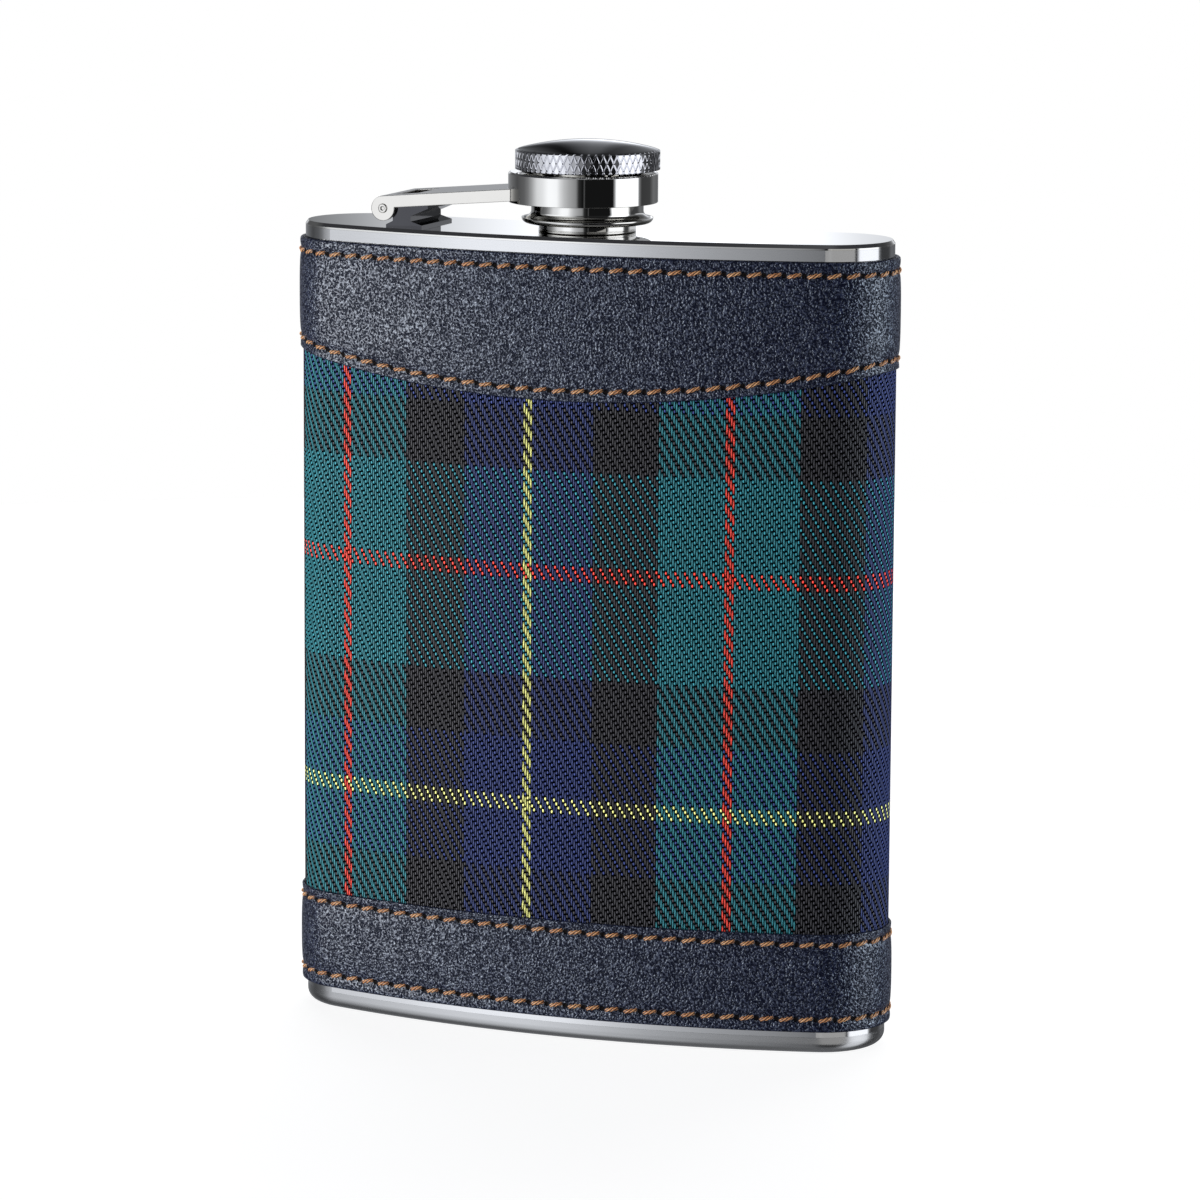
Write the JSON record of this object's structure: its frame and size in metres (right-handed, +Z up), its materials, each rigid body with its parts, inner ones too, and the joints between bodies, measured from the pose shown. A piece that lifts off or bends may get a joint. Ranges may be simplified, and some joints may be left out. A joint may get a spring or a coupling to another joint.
{
  "type": "hip flask",
  "caption": "Kidney-shaped steel hip flask with a screw cap on a hinged captive arm, wrapped in tartan cloth between stitched leather bands.",
  "frame": {"origin": "centre of the outline in plan, on the surface the flask stands on", "axes": "+Z up through the neck, -Y out of the bulging front, -X towards the hinge of the captive arm"},
  "size_m": [0.0952, 0.0266, 0.1352],
  "materials": {
    "satin_steel": "fine satin brushing along the edges",
    "polished_steel": "mirror polished",
    "washer_rubber": "matte, food grade",
    "lining_cloth": "plain backing cloth",
    "tartan_wool": "worsted twill in green, navy and black with red and yellow lines",
    "navy_leather": "fine pebble grain with a soft sheen",
    "amber_thread": "twisted polyester thread"
  },
  "bodies": {
    "flask": {"body_shell": "satin_steel", "base_plate": "satin_steel", "shoulder_plate": "polished_steel", "neck": "polished_steel", "hinge_bracket": "polished_steel", "wrap_lining": "lining_cloth", "tartan_cloth": "tartan_wool", "leather_band_top": "navy_leather", "leather_band_bottom": "navy_leather", "stitches_top_upper": "amber_thread", "stitches_top_lower": "amber_thread", "stitches_bottom_upper": "amber_thread", "stitches_bottom_lower": "amber_thread"},
    "captive_link": {"captive_arm": "polished_steel", "captive_ring": "polished_steel", "hinge_pin": "polished_steel"},
    "washer": {"cap_washer": "washer_rubber"},
    "cap": {"cap_sleeve": "polished_steel", "cap_head": "satin_steel"}
  },
  "joints": [
    {"name": "arm_swing", "type": "hinge", "parent": "flask", "child": "captive_link", "pos_m": [-0.0303, -0.00126, 0.1243], "axis": [0, -1, 0], "range_deg": [0, 165]},
    {"name": "cap_rise", "type": "slide", "parent": "captive_link", "child": "washer", "axis": [0, 0, 1], "range_m": [0, 0.0012]},
    {"name": "cap_turn", "type": "hinge", "parent": "washer", "child": "cap", "pos_m": [0, -0.00126, 0.125], "axis": [0, 0, 1], "range_deg": [0, 360]}
  ],
  "couplings": [
    {"joint": "cap_rise", "follows": "cap_turn", "m_per_rad": 0.00019098}
  ]
}
